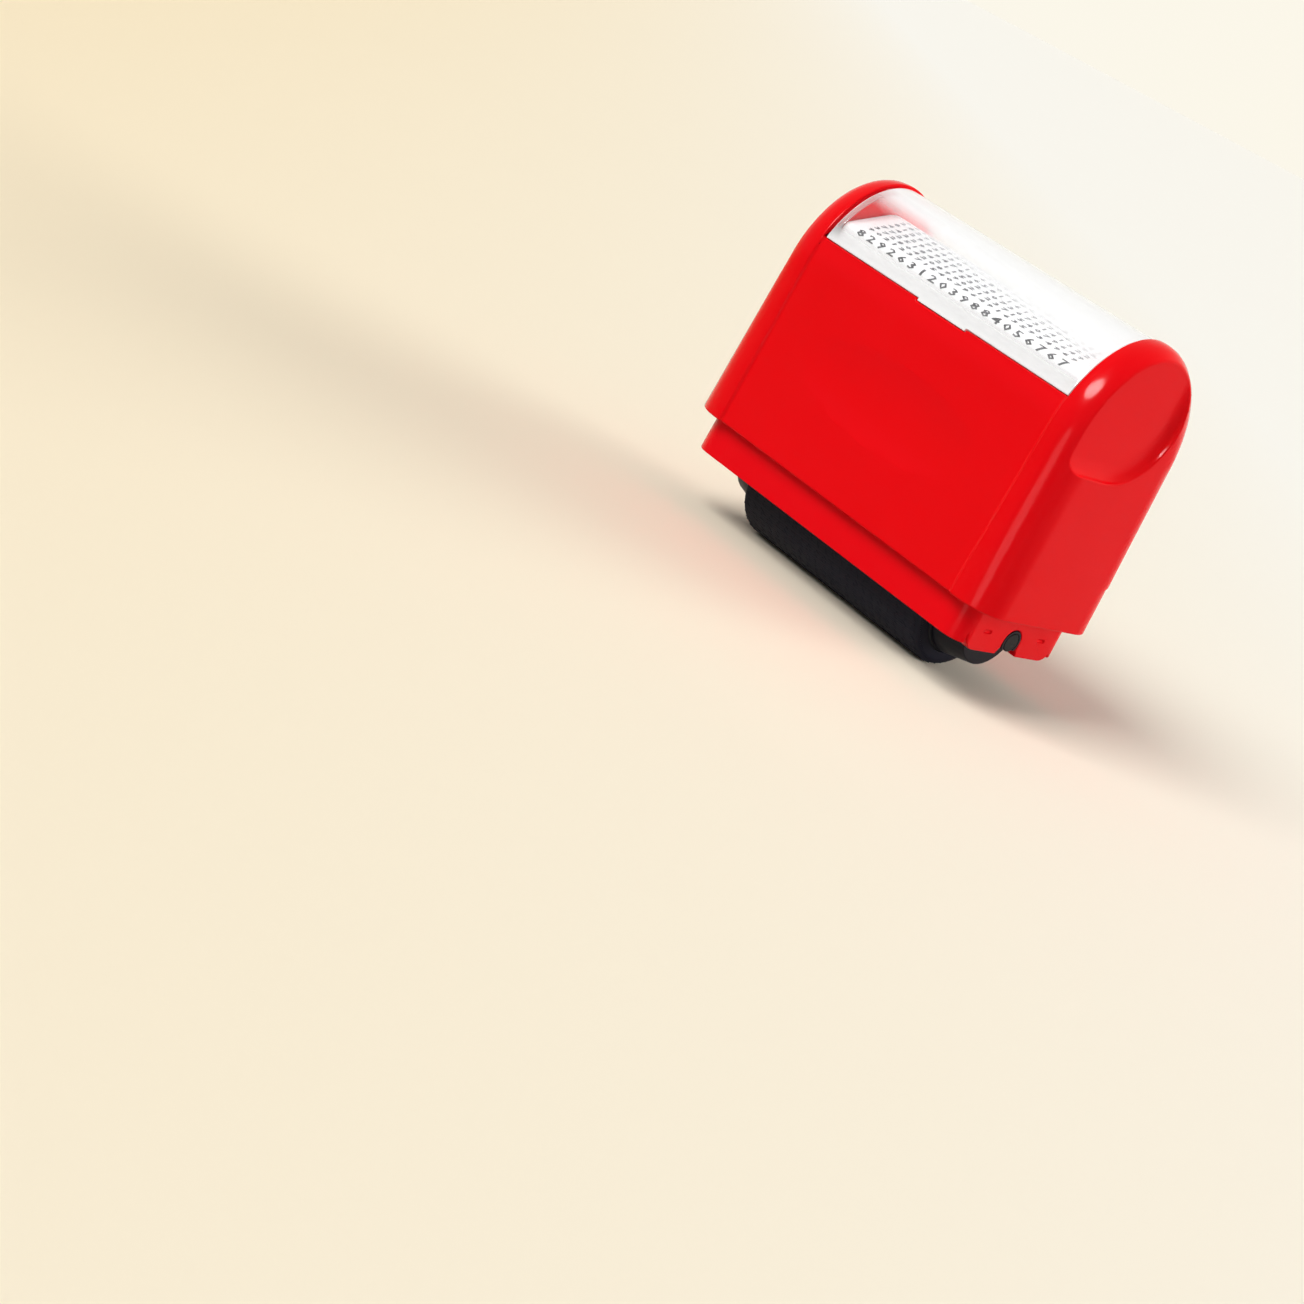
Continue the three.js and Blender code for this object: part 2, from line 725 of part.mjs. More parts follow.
// Bearing bush clipped into an end plate's slot, open at the bottom, made for the right end
function axleBush() {
  const bore = journalRadius + journalGap;
  const from = -90 + bushOpening / 2;
  const to = 270 - bushOpening / 2;
  const clip = (radius) => [
    ...arc(0, axleZ, radius, from, to, bushSteps),
    ...arc(0, axleZ, bore, to, from, bushSteps),
  ];
  const sleeve = solid(prism(clip(bore + bushWall), bushInnerX, plateOuterX));
  const flange = solid(prism(clip(bore + bushFlange), bushInnerX, bushInnerX + bushFlangeWall));
  return skinOf(sleeve.add(flange));
}

function mirrored(geometry) {
  return geometry.clone().rotateZ(Math.PI);
}

// Materials and assembly
const finishes = {
  red: { color: 0xe4101a, roughness: 0.28, metalness: 0 },
  clear: { color: 0xf4f6f8, roughness: 0.06, metalness: 0, transparent: true, opacity: 0.3 },
  card: { color: 0xf6f6f4, roughness: 0.8, metalness: 0 },
  black: { color: 0x1c1a22, roughness: 0.55, metalness: 0 },
  rubber: { color: 0x211f27, roughness: 0.85, metalness: 0 },
  foam: { color: 0x3a3a3e, roughness: 0.95, metalness: 0 },
  white: { color: 0xe9e9e4, roughness: 0.5, metalness: 0 },
  felt: { color: 0x17161d, roughness: 1, metalness: 0 },
  steel: { color: 0xb9bcc2, roughness: 0.3, metalness: 1 },
  blackSteel: { color: 0x3a393d, roughness: 0.4, metalness: 1 },
};

const stamp = new THREE.Group();

function piece(parent, name, geometry, finish) {
  const mesh = new THREE.Mesh(weld(geometry), new THREE.MeshStandardMaterial(finishes[finish]));
  mesh.name = name;
  parent.add(mesh);
}

const housing = new THREE.Group();
piece(housing, 'housing_shell', housingShell(), 'red');
piece(housing, 'window_cover', windowCover(), 'clear');
piece(housing, 'label_card', labelCard(), 'card');

const cartridge = new THREE.Group();
piece(cartridge, 'roller_frame', rollerFrame(), 'red');
piece(cartridge, 'spring_plate', springPlate(), 'white');
piece(cartridge, 'ink_spring_left', inkSpring(-1), 'steel');
piece(cartridge, 'ink_spring_right', inkSpring(1), 'steel');
piece(cartridge, 'axle_bush_left', mirrored(axleBush()), 'black');
piece(cartridge, 'axle_bush_right', axleBush(), 'black');
piece(cartridge, 'ink_cradle', inkCradle(), 'white');

const inkRoller = new THREE.Group();
piece(inkRoller, 'ink_axle', axle(armOuterX, inkJournalRadius, inkZ), 'steel');
piece(inkRoller, 'ink_core', inkCore(), 'white');
piece(inkRoller, 'ink_felt', inkFelt(), 'felt');
piece(inkRoller, 'ink_cap_left', mirrored(inkCap()), 'white');
piece(inkRoller, 'ink_cap_right', inkCap(), 'white');

const drum = new THREE.Group();
piece(drum, 'drum_axle', axle(plateOuterX, journalRadius, axleZ), 'blackSteel');
piece(drum, 'drum_core', drumCore(), 'black');
piece(drum, 'drum_cushion', drumCushion(), 'foam');
piece(drum, 'stamp_sleeve', stampSleeve(), 'rubber');
piece(drum, 'drum_hub_left', mirrored(drumHub()), 'black');
piece(drum, 'drum_hub_right', drumHub(), 'black');

cartridge.add(inkRoller, drum);
stamp.add(housing, cartridge);

export default stamp;
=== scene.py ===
"""Roller stamp: moulded red housing, clear label window, and a cartridge with a printing drum."""

import math

import bpy
from mathutils import Matrix, Vector


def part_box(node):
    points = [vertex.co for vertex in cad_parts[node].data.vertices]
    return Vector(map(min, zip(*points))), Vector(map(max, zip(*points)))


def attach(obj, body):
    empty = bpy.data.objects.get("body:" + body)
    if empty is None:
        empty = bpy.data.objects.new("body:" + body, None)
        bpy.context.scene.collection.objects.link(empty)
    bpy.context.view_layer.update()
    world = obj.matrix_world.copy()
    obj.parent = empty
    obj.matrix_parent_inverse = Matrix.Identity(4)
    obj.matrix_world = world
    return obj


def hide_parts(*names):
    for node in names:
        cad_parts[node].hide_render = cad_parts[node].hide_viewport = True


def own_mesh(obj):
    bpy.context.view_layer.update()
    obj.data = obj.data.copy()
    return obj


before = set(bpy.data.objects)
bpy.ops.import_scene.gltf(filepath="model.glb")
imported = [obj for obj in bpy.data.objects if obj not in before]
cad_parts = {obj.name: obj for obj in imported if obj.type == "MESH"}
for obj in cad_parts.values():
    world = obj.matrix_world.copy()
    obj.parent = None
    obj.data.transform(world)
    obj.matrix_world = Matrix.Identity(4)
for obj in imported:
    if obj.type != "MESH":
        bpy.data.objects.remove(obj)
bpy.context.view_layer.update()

MM = 0.001

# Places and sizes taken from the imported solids
sleeve_low, sleeve_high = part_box("stamp_sleeve")
window_low, window_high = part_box("window_cover")
card_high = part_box("label_card")[1]
print_half = sleeve_high.x
die_radius = (sleeve_high.z - sleeve_low.z) / 2
axle_z = (sleeve_high.z + sleeve_low.z) / 2

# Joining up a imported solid's loose triangles: points this close are one point, and faces that
# turn by less than this are one flat face
weld_gap = 0.0005 * MM
flat_turn = math.radians(0.3)

# Joining up a row of digits
digit_weld_gap = 0.001 * MM


# Selecting and shaping
def deselect():
    """Leaves edit mode, with nothing selected."""
    if bpy.context.object and bpy.context.object.mode != "OBJECT":
        bpy.ops.object.mode_set(mode="OBJECT")
    bpy.ops.object.select_all(action="DESELECT")


def pick(piece):
    """Selects one piece alone and makes it the active one."""
    deselect()
    piece.select_set(True)
    bpy.context.view_layer.objects.active = piece


def open_mesh(piece, kind="FACE", everything=True):
    """Opens a piece's mesh for editing, with all of it selected or nothing."""
    pick(piece)
    bpy.ops.object.mode_set(mode="EDIT")
    bpy.ops.mesh.select_mode(type=kind)
    bpy.ops.mesh.select_all(action="SELECT" if everything else "DESELECT")


def close_mesh():
    """Leaves edit mode."""
    bpy.ops.object.mode_set(mode="OBJECT")


def select_faces(piece, wanted):
    """Opens a piece's mesh with only those faces selected that pass a test."""
    open_mesh(piece, "FACE", everything=False)
    close_mesh()
    for face in piece.data.polygons:
        face.select = wanted(face)
    bpy.ops.object.mode_set(mode="EDIT")


def select_edges(piece, wanted):
    """Opens a piece's mesh with only those edges selected whose two ends pass a test."""
    open_mesh(piece, "EDGE", everything=False)
    close_mesh()
    points = piece.data.vertices
    for edge in piece.data.edges:
        edge.select = wanted(*(points[i].co for i in edge.vertices))
    bpy.ops.object.mode_set(mode="EDIT")


def settle(piece):
    """Puts the piece's place, turn and size into its mesh."""
    pick(piece)
    bpy.ops.object.transform_apply(location=True, rotation=True, scale=True)


def named(piece, name):
    """Gives a piece and its mesh one name."""
    piece.name = name
    piece.data.name = name
    return piece


def joined(pieces, name):
    """Makes one piece of several."""
    deselect()
    for piece in pieces:
        piece.select_set(True)
    bpy.context.view_layer.objects.active = pieces[0]
    bpy.ops.object.join()
    return named(bpy.context.object, name)


def apply_modifier(piece, modifier):
    """Makes a modifier's result the piece's own mesh."""
    pick(piece)
    bpy.ops.object.modifier_apply(modifier=modifier.name)


def shade(piece, angle=40):
    """Shades a piece smooth, apart from the edges sharper than an angle in degrees."""
    pick(piece)
    bpy.ops.object.shade_smooth_by_angle(angle=math.radians(angle))
    weighted = piece.modifiers.new("weighted", "WEIGHTED_NORMAL")
    weighted.keep_sharp = True
    apply_modifier(piece, weighted)


def soften(piece, width, angle, segments):
    """Rounds the edges sharper than an angle in degrees, then shades the rest smooth."""
    rounding = piece.modifiers.new("rounding", "BEVEL")
    rounding.width = width
    rounding.segments = segments
    rounding.limit_method = "ANGLE"
    rounding.angle_limit = math.radians(angle)
    rounding.miter_outer = "MITER_ARC"
    rounding.use_clamp_overlap = False
    apply_modifier(piece, rounding)
    shade(piece)


def moulding(node, name, edge, angle=30, segments=3):
    """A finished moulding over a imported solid: its skin joined up and its edges rounded."""
    piece = bpy.data.objects.new(name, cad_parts[node].data.copy())
    named(piece, name)
    bpy.context.scene.collection.objects.link(piece)
    open_mesh(piece)
    bpy.ops.mesh.remove_doubles(threshold=weld_gap)
    bpy.ops.mesh.customdata_custom_splitnormals_clear()
    bpy.ops.mesh.dissolve_limited(angle_limit=flat_turn)
    close_mesh()
    soften(piece, edge, angle, segments)
    return piece


def dress(piece, material, body, slot, *nodes):
    """Gives a piece its material and its body, and hides the nodes that it stands for; the slot is
    not used.
    """
    piece.data.materials.clear()
    piece.data.materials.append(material)
    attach(piece, body)
    if nodes:
        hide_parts(*nodes)
    return piece


# Building shader trees
def add(tree, kind, **settings):
    """A new node with its settings."""
    node = tree.nodes.new(kind)
    for key, value in settings.items():
        setattr(node, key, value)
    return node


def feed(tree, socket, value):
    """Gives a socket a plain number or colour, or links it to what carries one."""
    if isinstance(value, (float, tuple)):
        socket.default_value = value
    else:
        tree.links.new(value, socket)


def places(tree):
    """Object coordinates, whole and split into X, Y and Z."""
    coords = add(tree, "ShaderNodeTexCoord").outputs["Object"]
    split = add(tree, "ShaderNodeSeparateXYZ")
    tree.links.new(coords, split.inputs["Vector"])
    return coords, split.outputs


def noise_on(tree, coords, scale, detail=3.0, rough=0.55):
    """Noise on Object coordinates, with its scale in waves per metre."""
    noise = add(tree, "ShaderNodeTexNoise")
    tree.links.new(coords, noise.inputs["Vector"])
    feed(tree, noise.inputs["Scale"], scale)
    noise.inputs["Detail"].default_value = detail
    noise.inputs["Roughness"].default_value = rough
    return noise.outputs["Fac"]


def remap(tree, value, low, high, to_low=0.0, to_high=1.0):
    """A value brought from one range to another, and held within it."""
    ranged = add(tree, "ShaderNodeMapRange")
    tree.links.new(value, ranged.inputs["Value"])
    feed(tree, ranged.inputs["From Min"], low)
    feed(tree, ranged.inputs["From Max"], high)
    feed(tree, ranged.inputs["To Min"], to_low)
    feed(tree, ranged.inputs["To Max"], to_high)
    return ranged.outputs["Result"]


def reckon(tree, operation, *values):
    """One sum over plain or linked numbers."""
    node = add(tree, "ShaderNodeMath", operation=operation)
    for socket, value in zip(node.inputs, values):
        feed(tree, socket, value)
    return node.outputs["Value"]


def mix_colours(tree, factor, first, second):
    """The first colour where the factor is 0, and the second where it is 1."""
    mix = add(tree, "ShaderNodeMix", data_type="RGBA")
    feed(tree, mix.inputs["Factor"], factor)
    feed(tree, mix.inputs[6], first)
    feed(tree, mix.inputs[7], second)
    return mix.outputs[2]


def new_material(name):
    """A material with its node tree and its Principled shader."""
    material = bpy.data.materials.new(name)
    material.use_nodes = True
    tree = material.node_tree
    return material, tree, tree.nodes["Principled BSDF"]


def bump(tree, height, shader, distance):
    """Raises a surface by up to a distance in metres where the height is 1."""
    lift = add(tree, "ShaderNodeBump")
    lift.inputs["Distance"].default_value = distance
    tree.links.new(height, lift.inputs["Height"])
    tree.links.new(lift.outputs["Normal"], shader.inputs["Normal"])


def new_group(name, inputs, outputs):
    """An empty shader group with its named inputs and outputs."""
    group = bpy.data.node_groups.new(name, "ShaderNodeTree")
    for label, kind, value in inputs:
        socket = group.interface.new_socket(name=label, in_out="INPUT", socket_type=kind)
        socket.default_value = value
    for label, kind in outputs:
        group.interface.new_socket(name=label, in_out="OUTPUT", socket_type=kind)
    enter = group.nodes.new("NodeGroupInput")
    leave = group.nodes.new("NodeGroupOutput")
    return group, enter, leave


def make_mould_finish():
    """Moulded plastic: slow colour drift, roughness patches, and a fine grain as height."""
    group, enter, leave = new_group(
        "mould_finish",
        [
            ("Colour", "NodeSocketColor", (0.8, 0.8, 0.8, 1)),
            ("Shade", "NodeSocketColor", (0.7, 0.7, 0.7, 1)),
            ("Drift Scale", "NodeSocketFloat", 40.0),
            ("Smooth", "NodeSocketFloat", 0.2),
            ("Rough", "NodeSocketFloat", 0.3),
            ("Grain Scale", "NodeSocketFloat", 4000.0),
        ],
        [
            ("Colour", "NodeSocketColor"),
            ("Roughness", "NodeSocketFloat"),
            ("Grain", "NodeSocketFloat"),
        ],
    )
    given = enter.outputs
    coords = add(group, "ShaderNodeTexCoord").outputs["Object"]
    drift = noise_on(group, coords, given["Drift Scale"], detail=2.0)
    drift = remap(group, drift, 0.3, 0.7)
    colour = mix_colours(group, drift, given["Colour"], given["Shade"])
    patches = noise_on(group, coords, scale=90.0, detail=3.0, rough=0.5)
    roughness = remap(group, patches, 0.2, 0.8, given["Smooth"], given["Rough"])
    grain = noise_on(group, coords, given["Grain Scale"], detail=2.0)
    group.links.new(colour, leave.inputs["Colour"])
    group.links.new(roughness, leave.inputs["Roughness"])
    group.links.new(grain, leave.inputs["Grain"])
    return group


mould_finish = make_mould_finish()


def moulded(
    name, colour, drift_to, smooth, rough, grain_scale, grain_depth, specular=0.5, drift_scale=40.0
):
    """A moulded plastic, rubber, foam or felt.

    Its colour drifts between two linear colours and its roughness between two values. Scales are
    in waves per metre, and the grain's depth is in metres.
    """
    material, tree, shader = new_material(name)
    finish = add(tree, "ShaderNodeGroup", node_tree=mould_finish)
    finish.inputs["Colour"].default_value = (*colour, 1)
    finish.inputs["Shade"].default_value = (*drift_to, 1)
    finish.inputs["Drift Scale"].default_value = drift_scale
    finish.inputs["Smooth"].default_value = smooth
    finish.inputs["Rough"].default_value = rough
    finish.inputs["Grain Scale"].default_value = grain_scale
    tree.links.new(finish.outputs["Colour"], shader.inputs["Base Color"])
    tree.links.new(finish.outputs["Roughness"], shader.inputs["Roughness"])
    shader.inputs["Specular IOR Level"].default_value = specular
    bump(tree, finish.outputs["Grain"], shader, grain_depth)
    return material


# Finishes
red_plastic = moulded(
    "red_gloss_plastic",
    colour=(0.92, 0.0005, 0.005),
    drift_to=(0.88, 0.0005, 0.004),
    smooth=0.12,
    rough=0.15,
    grain_scale=2600.0,
    grain_depth=0.0006 * MM,
    specular=0.07,
)
frame_plastic = moulded(
    "red_frame_plastic",
    colour=(0.92, 0.001, 0.007),
    drift_to=(0.88, 0.001, 0.006),
    smooth=0.18,
    rough=0.22,
    grain_scale=2600.0,
    grain_depth=0.0008 * MM,
    specular=0.07,
)
black_plastic = moulded(
    "black_hub_plastic",
    colour=(0.009, 0.009, 0.014),
    drift_to=(0.014, 0.013, 0.02),
    smooth=0.3,
    rough=0.45,
    grain_scale=3000.0,
    grain_depth=0.003 * MM,
    specular=0.12,
)
black_rubber = moulded(
    "black_die_rubber",
    colour=(0.007, 0.007, 0.014),
    drift_to=(0.013, 0.013, 0.024),
    smooth=0.45,
    rough=0.62,
    grain_scale=3500.0,
    grain_depth=0.006 * MM,
    specular=0.13,
)
white_plastic = moulded(
    "natural_white_plastic",
    colour=(0.78, 0.77, 0.72),
    drift_to=(0.72, 0.71, 0.66),
    smooth=0.34,
    rough=0.5,
    grain_scale=2200.0,
    grain_depth=0.003 * MM,
)
foam = moulded(
    "grey_cushion_foam",
    colour=(0.05, 0.05, 0.055),
    drift_to=(0.03, 0.03, 0.034),
    smooth=0.85,
    rough=0.98,
    grain_scale=2500.0,
    grain_depth=0.05 * MM,
    specular=0.2,
)
felt = moulded(
    "inked_felt",
    colour=(0.008, 0.008, 0.012),
    drift_to=(0.02, 0.02, 0.028),
    smooth=0.8,
    rough=1.0,
    grain_scale=3200.0,
    grain_depth=0.05 * MM,
    specular=0.2,
    drift_scale=300.0,
)


def make_clear_plastic():
    """Clear plastic: a thin white film of painted glare, thicker where it is seen at a slant and
    to the right, with painted highlights along its end rims and painted light in its feet.
    """
    material, tree, shader = new_material("clear_window_plastic")
    shader.inputs["Base Color"].default_value = (1, 1, 1, 1)
    shader.inputs["Specular IOR Level"].default_value = 1.0
    coords, place = places(tree)
    haze = noise_on(tree, coords, scale=180.0, detail=3.0)
    haze = remap(tree, haze, 0.4, 0.8, to_low=0.04, to_high=0.1)
    tree.links.new(haze, shader.inputs["Roughness"])

    # Painted glare, from 0 to 1: a white film that thickens with its slant to the eye and rises to
    # the right, standing in for the room's reflection
    facing = add(tree, "ShaderNodeLayerWeight").outputs["Facing"]
    glare_rise_per_metre = 4.0
    slant = reckon(tree, "MULTIPLY_ADD", place["X"], glare_rise_per_metre, facing)
    slant_glare = remap(tree, slant, 0.31, 0.55, to_low=0.04, to_high=0.92)

    # Painted highlight along its two end rims, and painted light in its feet over the shade there:
    # in these the white film is at least this opaque
    from_middle = reckon(tree, "ABSOLUTE", place["X"])
    rim_glint_start = window_high.x - 0.35 * MM
    rim_glint_full = window_high.x - 0.1 * MM
    rim_glint = remap(tree, from_middle, rim_glint_start, rim_glint_full, to_high=0.5)
    foot_glare_full = window_low.z + 2.2 * MM
    foot_glare_start = foot_glare_full + 3 * MM
    foot_glare = remap(tree, place["Z"], foot_glare_start, foot_glare_full, to_high=0.9)
    painted_glare = reckon(tree, "MAXIMUM", reckon(tree, "MAXIMUM", slant_glare, rim_glint), foot_glare)
    tree.links.new(painted_glare, shader.inputs["Alpha"])
    return material


def make_card():
    """White card with fine fibres."""
    material, tree, shader = new_material("white_card")
    coords = add(tree, "ShaderNodeTexCoord").outputs["Object"]
    fibres = noise_on(tree, coords, scale=1800.0, detail=5.0, rough=0.7)
    tint = mix_colours(tree, fibres, (0.93, 0.93, 0.93, 1), (0.98, 0.98, 0.98, 1))
    tree.links.new(tint, shader.inputs["Base Color"])
    shader.inputs["Roughness"].default_value = 0.8
    bump(tree, fibres, shader, distance=0.004 * MM)
    return material


def make_label_ink():
    """Grey ink that pales from the front of the card towards its ridge, the paling being painted
    glare over the print.
    """
    material, tree, shader = new_material("grey_label_ink")
    coords, place = places(tree)
    spread = noise_on(tree, coords, scale=900.0, detail=3.0)
    spread = remap(tree, spread, 0.3, 0.7, to_low=-0.15, to_high=0.15)
    front_y = -card_high.y
    ridge_y = 1 * MM
    # Painted glare: the ink runs from dark at the front bend to pale grey at the ridge
    way_back = remap(tree, place["Y"], front_y, ridge_y)
    ramp = add(tree, "ShaderNodeValToRGB")
    tree.links.new(reckon(tree, "ADD", spread, way_back), ramp.inputs["Fac"])
    stops = ramp.color_ramp.elements
    stops[0].color = (0.03, 0.03, 0.036, 1)
    stops[1].color = (0.55, 0.55, 0.58, 1)
    behind_bend = stops.new(0.15)
    behind_bend.color = (0.13, 0.13, 0.145, 1)
    tree.links.new(ramp.outputs["Color"], shader.inputs["Base Color"])
    shader.inputs["Roughness"].default_value = 0.7
    return material


def make_drawn_steel(name, dark, light):
    """Steel with fine streaks between two colours."""
    material, tree, shader = new_material(name)
    shader.inputs["Metallic"].default_value = 1.0
    coords = add(tree, "ShaderNodeTexCoord").outputs["Object"]
    streaks = noise_on(tree, coords, scale=2400.0, detail=4.0)
    tree.links.new(mix_colours(tree, streaks, dark, light), shader.inputs["Base Color"])
    roughness = remap(tree, streaks, 0.3, 0.7, to_low=0.22, to_high=0.38)
    tree.links.new(roughness, shader.inputs["Roughness"])
    return material


clear_plastic = make_clear_plastic()
white_card = make_card()
label_ink = make_label_ink()
spring_steel = make_drawn_steel(
    "drawn_spring_steel",
    dark=(0.55, 0.55, 0.57, 1),
    light=(0.7, 0.7, 0.72, 1),
)
black_steel = make_drawn_steel(
    "black_axle_steel",
    dark=(0.008, 0.008, 0.01, 1),
    light=(0.02, 0.02, 0.024, 1),
)

# Housing, window and card
housing = moulding("housing_shell", "housing_moulding", edge=0.22 * MM)
dress(housing, red_plastic, "housing", "red_plastic", "housing_shell")

window = moulding("window_cover", "window_moulding", edge=0.12 * MM)
dress(window, clear_plastic, "window", "clear_plastic", "window_cover")

card = moulding("label_card", "label_sheet", edge=0.05 * MM, segments=1)
dress(card, white_card, "housing", "white_card", "label_card")


def scrambled(count, seed):
    """Digits in an order that says nothing, and the same for the same seed."""
    value = seed
    digits = []
    for _ in range(count):
        value = (value * 41 + 17) % 997
        digits.append(str(value % 10))
    return "".join(digits)


def digit_row(count, seed, height, length, spacing, bold=0.0, relief=0, mirrored=False, cuts=0):
    """One row of digits lying flat round the origin, as a mesh of a height and a length.

    The relief is how deep the digits reach down, and the cuts are level lines to bend them at.
    """
    deselect()
    bpy.ops.object.text_add()
    row = bpy.context.object
    row.data.body = scrambled(count, seed)
    row.data.align_x = "CENTER"
    row.data.align_y = "CENTER"
    row.data.resolution_u = 1
    row.data.space_character = spacing
    row.data.offset = bold
    bpy.ops.object.convert(target="MESH")
    xs = [point.co.x for point in row.data.vertices]
    ys = [point.co.y for point in row.data.vertices]
    wide = max(xs) - min(xs)
    high = max(ys) - min(ys)
    middle = Vector(((max(xs) + min(xs)) / 2, (max(ys) + min(ys)) / 2, 0))
    row.data.transform(Matrix.Translation(-middle))
    side = -1 if mirrored else 1
    row.data.transform(Matrix.Diagonal((side * length / wide, height / high, 1, 1)))
    open_mesh(row)
    bpy.ops.mesh.remove_doubles(threshold=digit_weld_gap)
    for i in range(cuts):
        level = height * ((i + 1) / (cuts + 1) - 0.5)
        bpy.ops.mesh.select_all(action="SELECT")
        bpy.ops.mesh.bisect(plane_co=(0, level, 0), plane_no=(0, 1, 0))
    if relief:
        bpy.ops.mesh.extrude_region_move(TRANSFORM_OT_translate={"value": (0, 0, -relief)})
        bpy.ops.mesh.select_all(action="SELECT")
    bpy.ops.mesh.normals_make_consistent(inside=False)
    close_mesh()
    return row


# The card as packed: a roof of two slopes with a rounded ridge, bent down at its front and rear
card_slope = math.radians(21)
card_bend = 1.2 * MM
ridge_radius = 6.45 * MM
ridge_centre_z = card_high.z - ridge_radius
slope_top_z = ridge_centre_z + ridge_radius / math.cos(card_slope)
bend_y = card_high.y - card_bend
bend_z = slope_top_z - card_bend / math.cos(card_slope) - bend_y * math.tan(card_slope)

# Printed rows: one large row over the front bend, and small ones up the slope behind it
print_lift = 0.04 * MM
print_shift = -0.7 * MM
large_row_lean = math.radians(55)
small_rows = 7
first_row_y = -8.1 * MM
row_step = 1.2 * MM


def print_row(row, y, z, lean):
    """Lays a flat row at a place on the card's front half and wraps it on the sheet."""
    row.rotation_euler = (lean, 0, 0)
    row.location = (print_shift, y, z)
    settle(row)
    wrap = row.modifiers.new("wrap", "SHRINKWRAP")
    wrap.target = card
    wrap.wrap_method = "NEAREST_SURFACEPOINT"
    wrap.wrap_mode = "OUTSIDE_SURFACE"
    wrap.offset = print_lift
    apply_modifier(row, wrap)
    return row


large_row = digit_row(
    count=20,
    seed=11,
    height=1.4 * MM,
    length=41.8 * MM,
    spacing=1.5,
    bold=0.025,
    cuts=7,
)
large_row_y = -bend_y - card_bend * math.sin(large_row_lean)
large_row_z = bend_z + card_bend * math.cos(large_row_lean)
printed = [print_row(large_row, large_row_y, large_row_z, large_row_lean)]
for i in range(small_rows):
    small_row = digit_row(
        count=26,
        seed=29 + 31 * i,
        height=0.82 * MM,
        length=41.6 * MM,
        spacing=1.6,
        bold=0.035,
    )
    row_y = first_row_y + row_step * i
    row_z = slope_top_z + row_y * math.tan(card_slope)
    printed.append(print_row(small_row, row_y, row_z, card_slope))
label_print = joined(printed, "label_print")
dress(label_print, label_ink, "housing", "white_card")

# Cartridge frame and its fittings
skirt = moulding("roller_frame", "cartridge_moulding", edge=0.18 * MM)
dress(skirt, frame_plastic, "cartridge", "red_plastic", "roller_frame")

plate = moulding("spring_plate", "spring_plate_moulding", edge=0.1 * MM)
dress(plate, white_plastic, "cartridge", "white_plastic", "spring_plate")

for end in ("left", "right"):
    bush = moulding("axle_bush_" + end, "bush_moulding_" + end, edge=0.05 * MM, segments=2)
    dress(bush, black_plastic, "cartridge", "black_plastic", "axle_bush_" + end)

cradle = moulding("ink_cradle", "cradle_moulding", edge=0.12 * MM)
dress(cradle, white_plastic, "cradle", "white_plastic", "ink_cradle")

# The ink springs as packed: the wire's radius, the coil's radius to the wire's middle, and their
# places along the rollers
spring_wire = 0.25 * MM
spring_coil = 2.4 * MM
spring_x = {"left": -14 * MM, "right": 14 * MM}

# How they are wound
spring_turns = 6
steps_per_turn = 24
wire_sides = 10


def coil_spring(end):
    """Compression spring with closed end turns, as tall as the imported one."""
    low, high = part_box("ink_spring_" + end)
    axis_x = spring_x[end]
    deselect()
    bpy.ops.mesh.primitive_circle_add(vertices=wire_sides, radius=spring_wire)
    spring = named(bpy.context.object, "coil_spring_" + end)
    open_mesh(spring, "VERT")
    bpy.ops.transform.rotate(value=math.radians(90), orient_axis="X", center_override=(0, 0, 0))
    bpy.ops.transform.translate(value=(spring_coil, 0, 0))
    close_mesh()
    winding = spring.modifiers.new("winding", "SCREW")
    winding.axis = "Z"
    winding.iterations = spring_turns
    winding.steps = steps_per_turn
    winding.render_steps = steps_per_turn
    winding.screw_offset = spring_wire
    apply_modifier(spring, winding)

    # The first and last turn lie closed, hardly more than the wire's thickness from the next,
    # and the ones between share the rest of the height
    closed = 2.1 * spring_wire
    open_turns = spring_turns - 2
    rise = high.z - low.z - 2 * spring_wire
    pitch = (rise - 2 * closed) / open_turns
    for i, point in enumerate(spring.data.vertices):
        turn = i // wire_sides / steps_per_turn
        wound_closed = min(turn, 1) + max(turn - open_turns - 1, 0)
        wound_open = min(max(turn - 1, 0), open_turns)
        point.co.z += closed * wound_closed + pitch * wound_open - spring_wire * turn

    open_mesh(spring, "EDGE", everything=False)
    bpy.ops.mesh.select_non_manifold()
    bpy.ops.mesh.edge_face_add()
    bpy.ops.mesh.select_all(action="SELECT")
    bpy.ops.mesh.normals_make_consistent(inside=False)
    close_mesh()
    spring.location = (axis_x, 0, low.z + spring_wire)
    settle(spring)
    shade(spring, 60)
    dress(spring, spring_steel, "cartridge", "spring_steel", "ink_spring_" + end)
    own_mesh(spring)


for end in ("left", "right"):
    coil_spring(end)

# The rollers' sleeves are round enough at this many sides
tube_sides = 144


